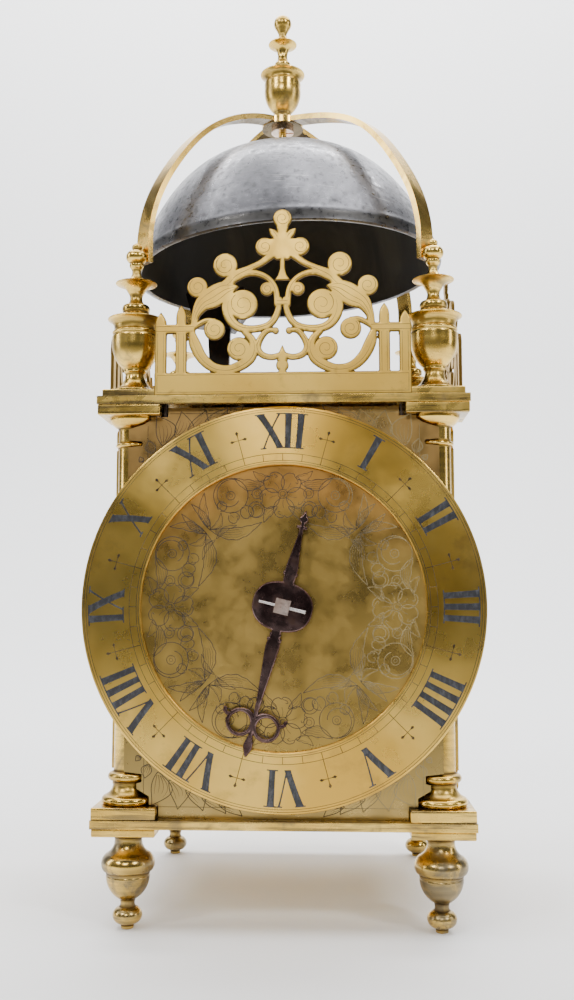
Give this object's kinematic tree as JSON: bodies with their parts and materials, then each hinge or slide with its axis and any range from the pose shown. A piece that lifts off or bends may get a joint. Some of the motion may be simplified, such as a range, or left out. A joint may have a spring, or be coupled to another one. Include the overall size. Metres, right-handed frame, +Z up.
{
  "type": "lantern clock",
  "caption": "Weight-driven brass lantern clock with one hand, Roman chapter ring, turned pillars and feet, pierced frets, and a strapped bell struck from inside.",
  "frame": {"origin": "centre of the bounding box at the underside of the feet", "axes": "+X to the right as seen from the front, -Y towards the viewer at the dial, +Z up"},
  "size_m": [0.165, 0.1574, 0.4259],
  "materials": {
    "case_brass": "polished and worn, with darker tarnish in the mouldings",
    "foot_brass": "brown tarnish",
    "dial_brass": "polished, engraved, with olive patina",
    "ring_brass": "polished, engraved and filled black",
    "fret_brass": "polished",
    "cage_brass": "dull brown patina",
    "wheel_brass": "clean cut, unpolished",
    "bell_metal": "pewter grey cast bell metal with light scratches",
    "copper_nut": "copper red, slotted",
    "iron": "dark forged iron",
    "steel": "plain turned steel",
    "hand_steel": "dark blued steel"
  },
  "bodies": {
    "frame": {"bottom_plate": "case_brass", "top_plate": "case_brass", "pillar_front_left": "case_brass", "pillar_front_right": "case_brass", "pillar_rear_left": "case_brass", "pillar_rear_right": "case_brass", "foot_front_left": "foot_brass", "foot_front_right": "foot_brass", "foot_rear_left": "foot_brass", "foot_rear_right": "foot_brass", "finial_front_left": "case_brass", "finial_front_right": "case_brass", "finial_rear_left": "case_brass", "finial_rear_right": "case_brass", "bell_cage": "cage_brass", "top_finial": "case_brass", "cage_nut": "copper_nut", "bell": "bell_metal", "bell_fixings": "iron", "fret_front": "fret_brass", "fret_left": "fret_brass", "fret_right": "fret_brass", "fret_screws": "steel", "dial_plate": "dial_brass", "chapter_ring": "ring_brass", "dial_pins": "steel", "front_bar": "iron", "centre_bar": "iron", "rear_bar": "iron", "bar_wedges": "iron", "back_plate": "case_brass", "back_plate_screws": "steel", "pendulum_cock": "case_brass", "hammer_spring": "steel", "hammer_stop": "iron"},
    "hour_motion": {"hour_wheel": "wheel_brass", "hour_arbor": "steel", "star_wheel": "steel", "hour_hand": "hand_steel", "hand_pin": "steel"},
    "going_great": {"going_great_wheel": "wheel_brass", "going_great_arbor": "steel", "going_pulley": "iron"},
    "going_second": {"second_wheel": "wheel_brass"},
    "going_escape": {"escape_wheel": "wheel_brass"},
    "pallets": {"pallet_arbor": "steel", "anchor": "steel"},
    "strike_great": {"strike_great_wheel": "wheel_brass", "strike_great_arbor": "steel", "strike_pulley": "iron"},
    "strike_hoop": {"hoop_wheel": "wheel_brass"},
    "strike_warning": {"warning_wheel": "wheel_brass"},
    "strike_fly": {"fly": "wheel_brass"},
    "count": {"count_wheel": "wheel_brass"},
    "detent": {"strike_detent": "iron"},
    "hammer_arm": {"hammer": "iron"},
    "door_left": {"left_door": "case_brass", "left_door_fittings": "case_brass"},
    "door_right": {"right_door": "case_brass", "right_door_fittings": "case_brass"}
  },
  "joints": [
    {"name": "hour_spin", "type": "hinge", "parent": "frame", "child": "hour_motion", "pos_m": [0, -0.06, 0.1295], "axis": [0, 1, 0], "continuous": true},
    {"name": "great_spin", "type": "hinge", "parent": "frame", "child": "going_great", "pos_m": [0, -0.01, 0.088], "axis": [0, 1, 0], "continuous": true},
    {"name": "second_spin", "type": "hinge", "parent": "frame", "child": "going_second", "pos_m": [0, -0.039, 0.1204], "axis": [0, 1, 0], "continuous": true},
    {"name": "escape_spin", "type": "hinge", "parent": "frame", "child": "going_escape", "pos_m": [0, -0.0278, 0.1442], "axis": [0, 1, 0], "continuous": true},
    {"name": "pallet_rock", "type": "hinge", "parent": "frame", "child": "pallets", "pos_m": [0, -0.0278, 0.16824], "axis": [0, 1, 0], "range_deg": [-2, 2]},
    {"name": "strike_great_spin", "type": "hinge", "parent": "frame", "child": "strike_great", "pos_m": [0, 0.009, 0.088], "axis": [0, 1, 0], "continuous": true},
    {"name": "hoop_spin", "type": "hinge", "parent": "frame", "child": "strike_hoop", "pos_m": [0, 0.035, 0.1216], "axis": [0, 1, 0], "continuous": true},
    {"name": "warning_spin", "type": "hinge", "parent": "frame", "child": "strike_warning", "pos_m": [0, 0.0407, 0.1447], "axis": [0, 1, 0], "continuous": true},
    {"name": "fly_spin", "type": "hinge", "parent": "frame", "child": "strike_fly", "pos_m": [0.0162, 0.018, 0.1447], "axis": [0, 1, 0], "continuous": true},
    {"name": "count_spin", "type": "hinge", "parent": "frame", "child": "count", "pos_m": [0, 0.053, 0.1132], "axis": [0, 1, 0], "continuous": true},
    {"name": "detent_lift", "type": "hinge", "parent": "frame", "child": "detent", "pos_m": [0.048, 0, 0.1447], "axis": [0, 1, 0], "range_deg": [0, 6]},
    {"name": "hammer_swing", "type": "hinge", "parent": "frame", "child": "hammer_arm", "pos_m": [-0.038, 0.034, 0.1447], "axis": [0, 1, 0], "range_deg": [-1.8, 8]},
    {"name": "left_door_hinge", "type": "hinge", "parent": "frame", "child": "door_left", "pos_m": [-0.0708, 0.0485, 0.1295], "axis": [0, 0, -1], "range_deg": [0, 95]},
    {"name": "right_door_hinge", "type": "hinge", "parent": "frame", "child": "door_right", "pos_m": [0.0708, 0.0485, 0.1295], "axis": [0, 0, 1], "range_deg": [0, 95]}
  ],
  "couplings": [
    {"joint": "great_spin", "follows": "hour_spin", "ratio": -12},
    {"joint": "second_spin", "follows": "hour_spin", "ratio": 96},
    {"joint": "escape_spin", "follows": "hour_spin", "ratio": -720},
    {"joint": "hoop_spin", "follows": "strike_great_spin", "ratio": -13},
    {"joint": "warning_spin", "follows": "strike_great_spin", "ratio": 130},
    {"joint": "fly_spin", "follows": "strike_great_spin", "ratio": -1040},
    {"joint": "count_spin", "follows": "strike_great_spin", "ratio": -0.16667}
  ]
}
